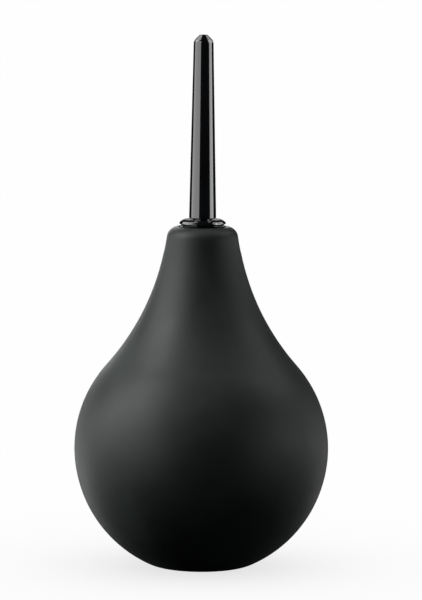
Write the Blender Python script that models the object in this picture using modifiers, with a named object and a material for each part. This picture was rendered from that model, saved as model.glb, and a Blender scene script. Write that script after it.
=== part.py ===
"""Dust blower bulb: a pear-shaped rubber squeeze bulb with a slim air nozzle.

The nozzle tube pushes into a screw collar, the collar screws into a bush held in the bulb's neck,
and a one-way inlet valve in the base lets air back in. Each piece is one named object.
Metres, +Z up, origin at the centre of the flat that the bulb stands on.
"""

import math

import bmesh
import bpy
from mathutils import Matrix, Vector

MM = 0.001

# Fits
GAP = 0.3 * MM  # between pieces that seat on each other
SLIDE_GAP = 0.2 * MM  # around the nozzle's spigot
SEAL_GAP = 0.08 * MM  # around the O-ring

# Bulb
BELLY_RADIUS = 38.0 * MM
BASE_RING_WIDTH = 3.2 * MM  # flat ring round the valve that the bulb stands on
BASE_ROUNDING = 14.0 * MM
LIP_LAND = 0.35 * MM  # flat between the mouth and the shoulder
SHOULDER_ROUNDING = 3.2 * MM
LIP_HEIGHT = 102.4 * MM
FLARE_RADIUS = 75.0 * MM  # of the hollow curve between belly and neck
WALL = 2.6 * MM
BASE_WEB = 2.8 * MM  # rubber gripped by the inlet valve
LEDGE_ROUNDING = 2.5 * MM

# Screw thread between collar and bush
THREAD_PITCH = 2.4 * MM
THREAD_RIDGE = 0.6 * MM  # radius of the round-topped ridge, centred on the stem's surface
THREAD_TOP = 3.6 * MM  # from the lip down to the middle of the ridge's upper end
THREAD_END = 0.8 * MM  # from the middle of the ridge's lower end down to the stem's end

# Bush in the neck
BUSH_WALL = 1.0 * MM
BUSH_LENGTH = 11.9 * MM
BUSH_FLANGE_STEP = 0.45 * MM  # by which the flange stands out past the barbs
BUSH_FLANGE = 0.9 * MM
BARB_HEIGHT = 0.7 * MM
BARB_LENGTH = 2.4 * MM
BARB_COUNT = 3

# Washer under the collar
WASHER_THICKNESS = 0.8 * MM
WASHER_WIDTH = 1.85 * MM

# Collar
COLLAR_OVERHANG = 0.35 * MM  # of the rim past the washer
COLLAR_FOOT_STEP = 0.6 * MM
COLLAR_TOP_STEP = 1.35 * MM
COLLAR_STEEP_STEP = 0.45 * MM  # of the bevel's steep lower part
COLLAR_STEEP_HEIGHT = 0.58 * MM
COLLAR_BEVEL_ROUNDING = 0.8 * MM
COLLAR_FOOT_HEIGHT = 0.2 * MM
COLLAR_UNDERCUT = 0.4 * MM
COLLAR_RIM_HEIGHT = 0.15 * MM
COLLAR_BEVEL_HEIGHT = 1.05 * MM
STEM_WALL = 0.9 * MM
STEM_SHORTER = 0.8 * MM  # by which the stem ends above the bush's lower end
STEM_BORE_RADIUS = 1.5 * MM

# Nozzle tube and its O-ring
NOZZLE_LENGTH = 54.7 * MM
NOZZLE_SHOULDER = 1.43 * MM  # by which the tube's foot stands out past its spigot
NOZZLE_TIP_RADIUS = 2.95 * MM
NOZZLE_TIP_HEIGHT = 2.4 * MM
NOZZLE_TIP_FLAT = 1.25 * MM
ORIFICE_RADIUS = 0.9 * MM
ORIFICE_DEPTH = 3.0 * MM
NOZZLE_BORE_RADIUS = 1.2 * MM
SPIGOT_RADIUS = 2.6 * MM
SPIGOT_LENGTH = 7.0 * MM
O_RING_SECTION = 0.8 * MM
O_RING_DEPTH = 3.5 * MM  # below the nozzle's shoulder
O_RING_PLAY = 0.25 * MM  # on each side of the ring, along the groove

# Inlet valve
VALVE_SINK = 0.4 * MM  # the valve stays clear of what the bulb stands on
VALVE_FLANGE_WIDTH = 2.0 * MM
VALVE_FLANGE = 1.0 * MM
BARREL_RADIUS = 5.0 * MM
BARREL_WALL = 0.7 * MM
SEAT_THICKNESS = 1.0 * MM
DISC_THICKNESS = 0.8 * MM
DISC_PLAY = 0.4 * MM
DISC_LIFT = 1.0 * MM
STOP_RADIUS = 1.5 * MM
STOP_LENGTH = 1.5 * MM
SKIRT_HEIGHT = 2.5 * MM
SKIRT_WALL = 1.4 * MM
SNAP_HEIGHT = 0.5 * MM
SNAP_BELOW_TOP = 0.8 * MM
CAGE_PLATE = 0.9 * MM
PORT_COUNT = 6
PORT_RADIUS = 0.75 * MM

# Facets
BULB_SEGMENTS = 40
SMALL_SEGMENTS = 32
THREAD_SEGMENTS = 24
PORT_SEGMENTS = 12
ARC_STEP = 11.0  # degrees between the points of a wide arc
FILLET_STEP = 45.0  # degrees between the points of a small fillet
SMOOTH_ANGLE = math.radians(35.0)

# Sizes that follow, on the nozzle's side of the neck. Heights are from the lip, upwards.
SOCKET_RADIUS = SPIGOT_RADIUS + SLIDE_GAP
O_RING_GROOVE_RADIUS = SOCKET_RADIUS - 2 * SEAL_GAP - O_RING_SECTION
NOZZLE_BASE_RADIUS = SPIGOT_RADIUS + NOZZLE_SHOULDER
STEM_RADIUS = SOCKET_RADIUS + STEM_WALL
THREAD_GROOVE = THREAD_RIDGE + GAP
BUSH_BORE_RADIUS = STEM_RADIUS + GAP
BUSH_RADIUS = STEM_RADIUS + THREAD_GROOVE + BUSH_WALL
BARB_RADIUS = BUSH_RADIUS + BARB_HEIGHT
BUSH_FLANGE_RADIUS = BARB_RADIUS + BUSH_FLANGE_STEP
BUSH_TOP = -WASHER_THICKNESS - GAP
BUSH_SHOULDER = BUSH_TOP - BUSH_FLANGE
BUSH_BOTTOM = BUSH_TOP - BUSH_LENGTH
BARB_PITCH = (BUSH_LENGTH - BUSH_FLANGE) / (BARB_COUNT + 0.5)
WASHER_HOLE_RADIUS = STEM_RADIUS + THREAD_RIDGE + 1.5 * GAP
WASHER_RADIUS = WASHER_HOLE_RADIUS + WASHER_WIDTH
COLLAR_RIM_RADIUS = WASHER_RADIUS + COLLAR_OVERHANG
COLLAR_HEIGHT = COLLAR_FOOT_HEIGHT + COLLAR_UNDERCUT + COLLAR_RIM_HEIGHT + COLLAR_BEVEL_HEIGHT
COLLAR_FOOT = GAP
STEM_END = BUSH_BOTTOM + STEM_SHORTER
NOZZLE_FOOT = COLLAR_FOOT + COLLAR_HEIGHT + GAP
MOUTH_RADIUS = BUSH_FLANGE_RADIUS + GAP
NECK_BORE_RADIUS = BUSH_RADIUS + GAP
NECK_RADIUS = MOUTH_RADIUS + LIP_LAND + SHOULDER_ROUNDING

# Sizes that follow, at the base. Heights are from the ground, upwards.
VALVE_FLANGE_RADIUS = BARREL_RADIUS + VALVE_FLANGE_WIDTH
VALVE_FLANGE_TOP = VALVE_SINK + VALVE_FLANGE
BASE_RECESS_RADIUS = VALVE_FLANGE_RADIUS + GAP
BASE_FLAT_RADIUS = BASE_RECESS_RADIUS + BASE_RING_WIDTH
BASE_RECESS_DEPTH = VALVE_FLANGE_TOP + GAP
BASE_HOLE_RADIUS = BARREL_RADIUS + GAP
INNER_FLOOR = BASE_RECESS_DEPTH + BASE_WEB
SKIRT_BOTTOM = INNER_FLOOR + GAP
PLATE_UNDERSIDE = SKIRT_BOTTOM + SKIRT_HEIGHT
BARREL_TOP = PLATE_UNDERSIDE - GAP
STOP_FACE = PLATE_UNDERSIDE - STOP_LENGTH
DISC_BOTTOM = STOP_FACE - GAP - DISC_LIFT - DISC_THICKNESS
SEAT_TOP = DISC_BOTTOM - GAP
SNAP_MIDDLE = BARREL_TOP - SNAP_BELOW_TOP
BARREL_BORE_RADIUS = BARREL_RADIUS - BARREL_WALL
DISC_RADIUS = BARREL_BORE_RADIUS - DISC_PLAY
PORT_CIRCLE = (DISC_RADIUS + STOP_RADIUS) / 2


def clear_scene():
    """Remove whatever the scene holds."""
    for obj in list(bpy.data.objects):
        bpy.data.objects.remove(obj, do_unlink=True)


def new_collection(name):
    """Make a collection under the scene's own."""
    made = bpy.data.collections.new(name)
    bpy.context.scene.collection.children.link(made)
    return made


def new_object(name, mesh, collection):
    """Put a mesh in the scene as an object."""
    obj = bpy.data.objects.new(name, mesh)
    collection.objects.link(obj)
    return obj


def new_material(name, colour, roughness):
    """Make a Principled material from a linear RGB colour. Nothing here is metal."""
    made = bpy.data.materials.new(name)
    made.use_nodes = True
    shader = made.node_tree.nodes["Principled BSDF"]
    shader.inputs["Base Color"].default_value = (*colour, 1.0)
    shader.inputs["Roughness"].default_value = roughness
    shader.inputs["Metallic"].default_value = 0.0
    made.diffuse_color = (*colour, 1.0)
    return made


def datum(name, parent, height, collection):
    """An empty on the blower's axis that carries the pieces which move together."""
    empty = bpy.data.objects.new(name, None)
    empty.empty_display_size = 5 * MM
    empty.parent = parent
    empty.location = (0, 0, height)
    collection.objects.link(empty)
    return empty


def angle_of(direction):
    """Angle of an (r, z) direction, in degrees."""
    return math.degrees(math.atan2(direction[1], direction[0]))


def arc(centre, radius, start, end, step=ARC_STEP):
    """Points on an arc in the (r, z) half plane, from one angle in degrees to another."""
    count = max(2, math.ceil(abs(end - start) / step))
    angles = [math.radians(start + (end - start) * i / count) for i in range(count + 1)]
    return [(centre[0] + radius * math.cos(a), centre[1] + radius * math.sin(a)) for a in angles]


def circles_meet(first, first_radius, second, second_radius):
    """The outer of the two points at the given distances from two centres."""
    between = second - first
    along = (first_radius**2 - second_radius**2 + between.length_squared) / (2 * between.length)
    aside = math.sqrt(first_radius**2 - along**2)
    unit = between.normalized()
    return first + unit * along + Vector((unit.y, -unit.x)) * aside


def filleted(before, corner, after, radius):
    """The points that round one corner of an outline, or the corner itself if radius is 0."""
    if radius == 0:
        return [corner]
    corner = Vector(corner)
    back, ahead = Vector(before) - corner, Vector(after) - corner
    half_turn = back.angle(ahead) / 2
    reach = min(radius / math.tan(half_turn), back.length / 2, ahead.length / 2)
    fitted = reach * math.tan(half_turn)
    bisector = (back.normalized() + ahead.normalized()).normalized()
    centre = corner + bisector * fitted / math.sin(half_turn)
    start = angle_of(corner + back.normalized() * reach - centre)
    end = angle_of(corner + ahead.normalized() * reach - centre)
    swept = (end - start + 180) % 360 - 180
    return arc(centre, fitted, start, start + swept, FILLET_STEP)


def rounded(corners):
    """An outline through (r, z, fillet) corners. The first and last corners stay sharp."""
    places = [corner[:2] for corner in corners]
    outline = [places[0]]
    for i in range(1, len(corners) - 1):
        outline += filleted(places[i - 1], places[i], places[i + 1], corners[i][2])
    return outline + [places[-1]]


def turned(name, outline, segments, collection, closed=True):
    """Turn an (r, z) outline about Z. It runs down the outer side and back up the inner one."""
    mesh = bpy.data.meshes.new(name)
    edges = [(i, i + 1) for i in range(len(outline) - 1)]
    if closed:
        edges.append((len(outline) - 1, 0))
    mesh.from_pydata([(r, 0, z) for r, z in outline], edges, [])
    obj = new_object(name, mesh, collection)
    screw = obj.modifiers.new("turn", "SCREW")
    screw.steps = segments
    screw.render_steps = segments
    screw.use_merge_vertices = True
    screw.merge_threshold = 0.001 * MM
    return obj


def evaluated_mesh(obj):
    """The mesh that an object's modifiers or curve settings make."""
    bpy.context.view_layer.update()
    graph = bpy.context.evaluated_depsgraph_get()
    return bpy.data.meshes.new_from_object(obj.evaluated_get(graph))


def as_cutter(obj):
    """Mark an object as a helper that is never rendered."""
    obj.hide_render = True
    obj.display_type = "WIRE"
    return obj


def helix(name, wire_radius, top, bottom, collection):
    """A right-handed wire coiled on the stem's surface, as a closed mesh."""
    curve = bpy.data.curves.new(name, "CURVE")
    curve.dimensions = "3D"
    curve.bevel_depth = wire_radius
    curve.bevel_resolution = 2
    curve.use_fill_caps = True
    spline = curve.splines.new("POLY")
    spline.points.add(math.ceil((top - bottom) / THREAD_PITCH * THREAD_SEGMENTS))
    for i, point in enumerate(spline.points):
        height = top - i * THREAD_PITCH / THREAD_SEGMENTS
        turn = 2 * math.pi * height / THREAD_PITCH
        point.co = (STEM_RADIUS * math.cos(turn), STEM_RADIUS * math.sin(turn), height, 1)
    wire = new_object(name + "_wire", curve, collection)
    mesh = evaluated_mesh(wire)
    bpy.data.objects.remove(wire)
    welded = bmesh.new()
    welded.from_mesh(mesh)
    bmesh.ops.remove_doubles(welded, verts=welded.verts, dist=0.001 * MM)
    bmesh.ops.recalc_face_normals(welded, faces=welded.faces)
    welded.to_mesh(mesh)
    welded.free()
    return as_cutter(new_object(name, mesh, collection))


def ring_of_ports(name, bottom, top, turn, collection):
    """Upright round cutters, evenly spaced on the valve's port circle."""
    shape = bmesh.new()
    place = Matrix.Translation((PORT_CIRCLE, 0, (bottom + top) / 2))
    for i in range(PORT_COUNT):
        bmesh.ops.create_cone(
            shape,
            cap_ends=True,
            segments=PORT_SEGMENTS,
            radius1=PORT_RADIUS,
            radius2=PORT_RADIUS,
            depth=top - bottom,
            matrix=Matrix.Rotation(turn + 2 * math.pi * i / PORT_COUNT, 4, "Z") @ place,
        )
    mesh = bpy.data.meshes.new(name)
    shape.to_mesh(mesh)
    shape.free()
    return as_cutter(new_object(name, mesh, collection))


def combine(obj, other, operation):
    """Cut another shape from an object, or join it on."""
    modifier = obj.modifiers.new(operation.lower(), "BOOLEAN")
    modifier.operation = operation
    modifier.object = other


def settle(obj, material, parent):
    """Fix the piece's mesh, dress it, and move it and its cutters to their parent's place."""
    helpers = [modifier.object for modifier in obj.modifiers if modifier.type == "BOOLEAN"]
    obj.data = evaluated_mesh(obj)
    obj.modifiers.clear()
    obj.data.name = obj.name
    obj.data.materials.clear()
    obj.data.materials.append(material)
    obj.data.shade_smooth()
    obj.data.set_sharp_from_angle(angle=SMOOTH_ANGLE)
    for piece in [obj, *helpers]:
        piece.parent = parent


def barbs(radius, tip_radius, lift):
    """Saw-tooth rings from the top down: a flat ledge above, a taper below."""
    outline = []
    for i in range(BARB_COUNT):
        ledge = BUSH_SHOULDER - (i + 0.5) * BARB_PITCH
        outline += [
            (radius, ledge + lift),
            (tip_radius, ledge + lift),
            (radius, ledge - BARB_LENGTH),
        ]
    return outline


def bulb_outline():
    """The bulb's cut face: belly, flare and shoulder outside, chamber and neck bore inside."""
    base = Vector((BASE_FLAT_RADIUS, BASE_ROUNDING))
    drop = math.sqrt((BELLY_RADIUS - BASE_ROUNDING) ** 2 - BASE_FLAT_RADIUS**2)
    belly = Vector((0, BASE_ROUNDING + drop))
    shoulder = Vector((NECK_RADIUS - SHOULDER_ROUNDING, LIP_HEIGHT - SHOULDER_ROUNDING))
    flare = circles_meet(
        belly, BELLY_RADIUS + FLARE_RADIUS, shoulder, SHOULDER_ROUNDING + FLARE_RADIUS
    )
    up_to_flare = angle_of(flare - belly)
    across_to_flare = angle_of(flare - shoulder)
    outside = arc(shoulder, SHOULDER_ROUNDING, 90, across_to_flare, 24)
    outside += arc(flare, FLARE_RADIUS, 180 + across_to_flare, 180 + up_to_flare, 5)[1:]
    outside += arc(belly, BELLY_RADIUS, up_to_flare, angle_of(base - belly))[1:]
    outside += arc(base, BASE_ROUNDING, angle_of(base - belly), -90)[1:]

    valve_seat = [
        (BASE_RECESS_RADIUS, 0),
        (BASE_RECESS_RADIUS, BASE_RECESS_DEPTH),
        (BASE_HOLE_RADIUS, BASE_RECESS_DEPTH),
        (BASE_HOLE_RADIUS, INNER_FLOOR),
    ]

    chamber_radius = BELLY_RADIUS - WALL
    corner = BASE_ROUNDING - WALL
    rise = belly.y - INNER_FLOOR - corner
    floor = Vector((math.sqrt((chamber_radius - corner) ** 2 - rise**2), INNER_FLOOR + corner))
    ledge = LIP_HEIGHT + BUSH_BOTTOM - GAP
    ledge_drop = (flare.y - ledge + LEDGE_ROUNDING) / (FLARE_RADIUS + WALL)
    chamber = arc(floor, corner, -90, angle_of(floor - belly), 20)
    chamber += arc(belly, chamber_radius, angle_of(floor - belly), up_to_flare)[1:]
    flare_end = 180 + math.degrees(math.asin(ledge_drop))
    chamber += arc(flare, FLARE_RADIUS + WALL, 180 + up_to_flare, flare_end, 6)[1:]
    roof = Vector(chamber[-1]) - Vector((LEDGE_ROUNDING, 0))
    chamber += arc(roof, LEDGE_ROUNDING, 0, 90, 30)[1:]

    barb_seat = barbs(NECK_BORE_RADIUS, BARB_RADIUS + GAP, GAP)
    bush_seat = LIP_HEIGHT + BUSH_SHOULDER - GAP
    neck = [
        (NECK_BORE_RADIUS, ledge),
        *[(r, LIP_HEIGHT + z) for r, z in reversed(barb_seat)],
        (NECK_BORE_RADIUS, bush_seat),
        (MOUTH_RADIUS, bush_seat),
        (MOUTH_RADIUS, LIP_HEIGHT),
    ]
    return outside + valve_seat + chamber + neck


def make_bulb(material, parent, parts):
    """The hollow rubber bulb, open at the mouth and at the valve's hole."""
    bulb = turned("bulb", bulb_outline(), BULB_SEGMENTS, parts)
    settle(bulb, material, parent)


def make_neck_bush(material, parent, parts, cutters):
    """The threaded bush: a flange in the mouth, barbs in the neck, a thread groove inside."""
    outline = [
        (BUSH_BORE_RADIUS, BUSH_TOP),
        (BUSH_FLANGE_RADIUS, BUSH_TOP),
        (BUSH_FLANGE_RADIUS, BUSH_SHOULDER),
        (BUSH_RADIUS, BUSH_SHOULDER),
        *barbs(BUSH_RADIUS, BARB_RADIUS, 0),
        (BUSH_RADIUS, BUSH_BOTTOM),
        (BUSH_BORE_RADIUS, BUSH_BOTTOM),
    ]
    bush = turned("neck_bush", outline, SMALL_SEGMENTS, parts)
    top = math.ceil(BUSH_TOP / THREAD_PITCH) * THREAD_PITCH + THREAD_PITCH
    groove = helix("groove_cutter", THREAD_GROOVE, top, BUSH_BOTTOM - THREAD_PITCH, cutters)
    combine(bush, groove, "DIFFERENCE")
    settle(bush, material, parent)


def make_washer(material, parent, parts):
    """The flat rubber washer that the collar carries on its stem."""
    edge = WASHER_THICKNESS / 4
    outline = rounded(
        [
            (WASHER_HOLE_RADIUS, 0, 0),
            (WASHER_RADIUS, 0, edge),
            (WASHER_RADIUS, -WASHER_THICKNESS, edge),
            (WASHER_HOLE_RADIUS, -WASHER_THICKNESS, 0),
        ]
    )
    washer = turned("captive_washer", outline, SMALL_SEGMENTS, parts)
    settle(washer, material, parent)


def make_collar(material, parent, parts, cutters):
    """The screw collar: bevelled rim above, threaded stem below, socket for the nozzle."""
    foot = COLLAR_RIM_RADIUS - COLLAR_FOOT_STEP
    rim_bottom = COLLAR_FOOT_HEIGHT + COLLAR_UNDERCUT
    rim_top = rim_bottom + COLLAR_RIM_HEIGHT
    stem_end = STEM_END - COLLAR_FOOT
    socket_floor = COLLAR_HEIGHT - SPIGOT_LENGTH
    steep_top = rim_top + COLLAR_STEEP_HEIGHT
    edge = 0.2 * MM
    outline = rounded(
        [
            (SOCKET_RADIUS, COLLAR_HEIGHT, 0),
            (COLLAR_RIM_RADIUS - COLLAR_TOP_STEP, COLLAR_HEIGHT, edge),
            (COLLAR_RIM_RADIUS - COLLAR_STEEP_STEP, steep_top, COLLAR_BEVEL_ROUNDING),
            (COLLAR_RIM_RADIUS, rim_top, edge),
            (COLLAR_RIM_RADIUS, rim_bottom, 0),
            (foot, COLLAR_FOOT_HEIGHT, 0),
            (foot, 0, 0),
            (STEM_RADIUS, 0, 0),
            (STEM_RADIUS, stem_end + 2 * edge, 0),
            (STEM_RADIUS - 2 * edge, stem_end, 0),
            (STEM_BORE_RADIUS, stem_end, 0),
            (STEM_BORE_RADIUS, socket_floor, 0),
            (SOCKET_RADIUS, socket_floor, 0),
        ]
    )
    collar = turned("nozzle_collar", outline, SMALL_SEGMENTS, parts)
    ridge = helix("ridge_joiner", THREAD_RIDGE, -THREAD_TOP, STEM_END + THREAD_END, cutters)
    ridge.location.z = -COLLAR_FOOT
    combine(collar, ridge, "UNION")
    settle(collar, material, parent)


def make_nozzle_tube(material, parent, parts):
    """The tapered tube with a blunt tip, and a spigot below with a groove for the O-ring."""
    edge = 0.35 * MM
    tip = NOZZLE_LENGTH
    tip_slope = NOZZLE_TIP_RADIUS - NOZZLE_TIP_FLAT
    groove = O_RING_SECTION / 2 + O_RING_PLAY
    outline = rounded(
        [
            (ORIFICE_RADIUS, tip, 0),
            (NOZZLE_TIP_FLAT, tip, edge),
            (NOZZLE_TIP_RADIUS, tip - tip_slope, 2 * edge),
            (NOZZLE_TIP_RADIUS, tip - NOZZLE_TIP_HEIGHT, 0),
            (NOZZLE_BASE_RADIUS, edge, 0),
            (NOZZLE_BASE_RADIUS - edge, 0, 0),
            (SPIGOT_RADIUS, 0, 0),
            (SPIGOT_RADIUS, groove - O_RING_DEPTH, 0),
            (O_RING_GROOVE_RADIUS, groove - O_RING_DEPTH, 0),
            (O_RING_GROOVE_RADIUS, -groove - O_RING_DEPTH, 0),
            (SPIGOT_RADIUS, -groove - O_RING_DEPTH, 0),
            (SPIGOT_RADIUS, edge - SPIGOT_LENGTH, 0),
            (SPIGOT_RADIUS - edge, -SPIGOT_LENGTH, 0),
            (NOZZLE_BORE_RADIUS, -SPIGOT_LENGTH, 0),
            (NOZZLE_BORE_RADIUS, tip - 2 * ORIFICE_DEPTH, 0),
            (ORIFICE_RADIUS, tip - ORIFICE_DEPTH, 0),
        ]
    )
    tube = turned("nozzle_tube", outline, SMALL_SEGMENTS, parts)
    settle(tube, material, parent)


def make_o_ring(material, parent, parts):
    """The rubber O-ring that holds the spigot in the collar's socket."""
    middle = (O_RING_GROOVE_RADIUS + SEAL_GAP + O_RING_SECTION / 2, -O_RING_DEPTH)
    outline = arc(middle, O_RING_SECTION / 2, 90, -270, 36)
    ring = turned("nozzle_o_ring", outline[:-1], SMALL_SEGMENTS, parts)
    settle(ring, material, parent)


def make_valve_body(material, parent, parts, cutters):
    """The inlet valve's body: a flange in the base, a barrel through it, a seat with ports."""
    seat_bottom = SEAT_TOP - SEAT_THICKNESS
    outline = [
        (0, SEAT_TOP),
        (BARREL_BORE_RADIUS, SEAT_TOP),
        (BARREL_BORE_RADIUS, BARREL_TOP),
        (BARREL_RADIUS, BARREL_TOP),
        (BARREL_RADIUS, SNAP_MIDDLE + SNAP_HEIGHT),
        (BARREL_RADIUS + SNAP_HEIGHT, SNAP_MIDDLE),
        (BARREL_RADIUS, SNAP_MIDDLE - SNAP_HEIGHT / 2),
        (BARREL_RADIUS, VALVE_FLANGE_TOP),
        (VALVE_FLANGE_RADIUS, VALVE_FLANGE_TOP),
        (VALVE_FLANGE_RADIUS, VALVE_SINK),
        (BARREL_BORE_RADIUS, VALVE_SINK),
        (BARREL_BORE_RADIUS, seat_bottom),
        (0, seat_bottom),
    ]
    body = turned("inlet_valve_body", outline, SMALL_SEGMENTS, parts, closed=False)
    ports = ring_of_ports("seat_port_cutter", seat_bottom - GAP, SEAT_TOP + GAP, 0, cutters)
    combine(body, ports, "DIFFERENCE")
    settle(body, material, parent)


def make_valve_disc(material, parent, parts):
    """The loose disc that covers the seat's ports and lifts when the bulb refills."""
    top = DISC_THICKNESS
    outline = [(0, top), (DISC_RADIUS, top), (DISC_RADIUS, 0), (0, 0)]
    disc = turned("inlet_valve_disc", outline, SMALL_SEGMENTS, parts, closed=False)
    settle(disc, material, parent)


def make_valve_cage(material, parent, parts, cutters):
    """The cap that snaps over the barrel inside the bulb and stops the disc's lift."""
    inner = BARREL_RADIUS + GAP
    outer = inner + SKIRT_WALL
    top = PLATE_UNDERSIDE + CAGE_PLATE
    outline = rounded(
        [
            (0, top, 0),
            (outer, top, SKIRT_WALL / 2),
            (outer, SKIRT_BOTTOM, 0),
            (inner, SKIRT_BOTTOM, 0),
            (inner, SNAP_MIDDLE - SNAP_HEIGHT, 0),
            (inner + SNAP_HEIGHT, SNAP_MIDDLE - SNAP_HEIGHT / 2, 0),
            (inner + SNAP_HEIGHT, SNAP_MIDDLE + SNAP_HEIGHT / 2, 0),
            (inner, PLATE_UNDERSIDE, 0),
            (STOP_RADIUS, PLATE_UNDERSIDE, 0),
            (STOP_RADIUS, STOP_FACE, 0),
            (0, STOP_FACE, 0),
        ]
    )
    cage = turned("inlet_valve_cage", outline, SMALL_SEGMENTS, parts, closed=False)
    between_ports = math.pi / PORT_COUNT
    ports = ring_of_ports(
        "cage_port_cutter", PLATE_UNDERSIDE - GAP, top + GAP, between_ports, cutters
    )
    combine(cage, ports, "DIFFERENCE")
    settle(cage, material, parent)


def main():
    """Build the whole blower."""
    clear_scene()
    parts = new_collection("dust_blower_bulb")
    cutters = new_collection("cutters")

    soft_rubber = new_material("soft_black_rubber", (0.020, 0.022, 0.021), 0.62)
    seal_rubber = new_material("seal_rubber", (0.012, 0.012, 0.012), 0.50)
    gloss_plastic = new_material("gloss_black_plastic", (0.006, 0.006, 0.006), 0.12)
    plain_plastic = new_material("plain_black_plastic", (0.015, 0.015, 0.015), 0.40)

    base = datum("base_datum", None, 0, parts)
    make_bulb(soft_rubber, base, parts)
    make_valve_body(plain_plastic, base, parts, cutters)
    make_valve_cage(plain_plastic, base, parts, cutters)

    disc = datum("valve_disc_datum", base, DISC_BOTTOM, parts)
    make_valve_disc(seal_rubber, disc, parts)

    neck = datum("neck_datum", base, LIP_HEIGHT, parts)
    make_neck_bush(plain_plastic, neck, parts, cutters)

    washer = datum("washer_datum", neck, 0, parts)
    make_washer(seal_rubber, washer, parts)

    collar = datum("collar_datum", washer, COLLAR_FOOT, parts)
    make_collar(gloss_plastic, collar, parts, cutters)

    nozzle = datum("nozzle_datum", collar, NOZZLE_FOOT - COLLAR_FOOT, parts)
    make_nozzle_tube(gloss_plastic, nozzle, parts)
    make_o_ring(seal_rubber, nozzle, parts)


main()
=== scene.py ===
"""Looks of a dust blower bulb: a soft rubber squeeze bulb with a gloss air nozzle screwed into it.

Every piece is turned about the blower's upright axis, so each class below draws its piece's cut
face as an outline of (radius, height) points in millimetres, turns it, and dresses it. Heights are
from the ground at the base, and from the bulb's lip in the neck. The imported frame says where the
lip and the belly are.
"""

import logging
import math
from collections.abc import Callable, Sequence
from dataclasses import dataclass, field
from enum import Enum

import bmesh
import bpy
from bpy.types import Node, NodeSocket, NodeTree, Object
from mathutils import Matrix, Vector

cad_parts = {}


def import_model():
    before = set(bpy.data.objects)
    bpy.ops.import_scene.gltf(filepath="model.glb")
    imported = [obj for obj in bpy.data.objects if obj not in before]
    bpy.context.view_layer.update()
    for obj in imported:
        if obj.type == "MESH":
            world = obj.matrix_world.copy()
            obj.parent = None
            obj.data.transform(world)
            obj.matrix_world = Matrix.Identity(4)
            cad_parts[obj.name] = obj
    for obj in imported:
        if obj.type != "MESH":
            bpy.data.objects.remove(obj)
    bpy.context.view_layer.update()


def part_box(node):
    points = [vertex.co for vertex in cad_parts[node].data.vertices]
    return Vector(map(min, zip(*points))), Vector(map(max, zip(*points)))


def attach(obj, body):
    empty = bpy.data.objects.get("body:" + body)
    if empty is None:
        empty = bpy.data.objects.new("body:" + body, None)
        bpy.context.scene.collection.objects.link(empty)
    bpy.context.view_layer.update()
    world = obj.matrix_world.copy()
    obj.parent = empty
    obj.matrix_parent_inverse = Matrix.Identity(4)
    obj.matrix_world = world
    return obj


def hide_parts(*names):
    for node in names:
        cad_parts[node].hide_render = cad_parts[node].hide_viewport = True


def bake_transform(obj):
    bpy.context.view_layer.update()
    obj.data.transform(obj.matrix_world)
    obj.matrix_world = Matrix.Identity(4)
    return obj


LOG = logging.getLogger("dust_blower")

MM = 0.001

# Millimetres, unless a comment says otherwise.
GAP = 0.3  # between pieces that seat on each other
BARB = 0.7  # how far each of the bush's saw-tooth rings stands out
BARB_LENGTH = 2.4
BARB_LEDGES = (-3.571, -6.714, -9.857)  # heights of their flat upper faces, from the lip
ROUND = 128  # facets round a small turned piece
THREAD_STRETCH = 0.15  # longest stretch of an outline that a thread is cut into
FILLET_STEP = 12.0  # degrees between the points of a fillet
SMOOTH_ANGLE = math.radians(38.0)
SAME_POINT = 1e-3  # nearer points are made one
ON_AXIS = 1e-6  # a point no further out than this is on the axis
NOISE_RANGE = (0.3, 0.7)  # most of a noise texture's levels lie between these
MIX_FIRST, MIX_SECOND, MIX_RESULT = 6, 7, 2  # the Mix node's sockets for colours

Point = tuple[float, float]
Outline = list[Point]
Relief = Callable[[float, float, float], float]


class Body(Enum):
    """The blower's moving bodies."""

    BASE = "base"
    VALVE_DISC = "valve_disc"
    NECK = "neck"
    WASHER = "washer"
    COLLAR = "collar"
    NOZZLE = "nozzle"


class Slot(Enum):
    """The record's material slots."""

    SOFT_RUBBER = "soft_rubber"
    SEAL_RUBBER = "seal_rubber"
    GLOSS_PLASTIC = "gloss_plastic"
    PLAIN_PLASTIC = "plain_plastic"


# --- outlines and turned meshes


@dataclass(frozen=True)
class Corner:
    """A corner of an outline, with the radius that rounds it."""

    r: float
    z: float
    rounding: float = 0.0


def angle_of(direction: Vector) -> float:
    """Angle of an (r, z) direction, in degrees."""
    return math.degrees(math.atan2(direction[1], direction[0]))


def arc(centre: Sequence[float], radius: float, start: float, end: float, step: float) -> Outline:
    """Points on an arc.

    Args:
        centre: The arc's centre, as (r, z).
        radius: The arc's radius.
        start: The first point's angle in degrees, from +r towards +z.
        end: The last point's angle.
        step: The largest angle between two points.

    Returns:
        The points, both ends included.
    """
    count = max(2, math.ceil(abs(end - start) / step))
    angles = [math.radians(start + (end - start) * i / count) for i in range(count + 1)]
    return [(centre[0] + radius * math.cos(a), centre[1] + radius * math.sin(a)) for a in angles]


def circles_meet(
    first: Vector, first_radius: float, second: Vector, second_radius: float
) -> Vector:
    """Find where two circles cross.

    Args:
        first: The first circle's centre.
        first_radius: The first circle's radius.
        second: The second circle's centre.
        second_radius: The second circle's radius.

    Returns:
        The crossing point that lies further out from the axis.
    """
    between = second - first
    along = (first_radius**2 - second_radius**2 + between.length_squared) / (2 * between.length)
    aside = math.sqrt(first_radius**2 - along**2)
    unit = between.normalized()
    return first + unit * along + Vector((unit.y, -unit.x)) * aside


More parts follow.
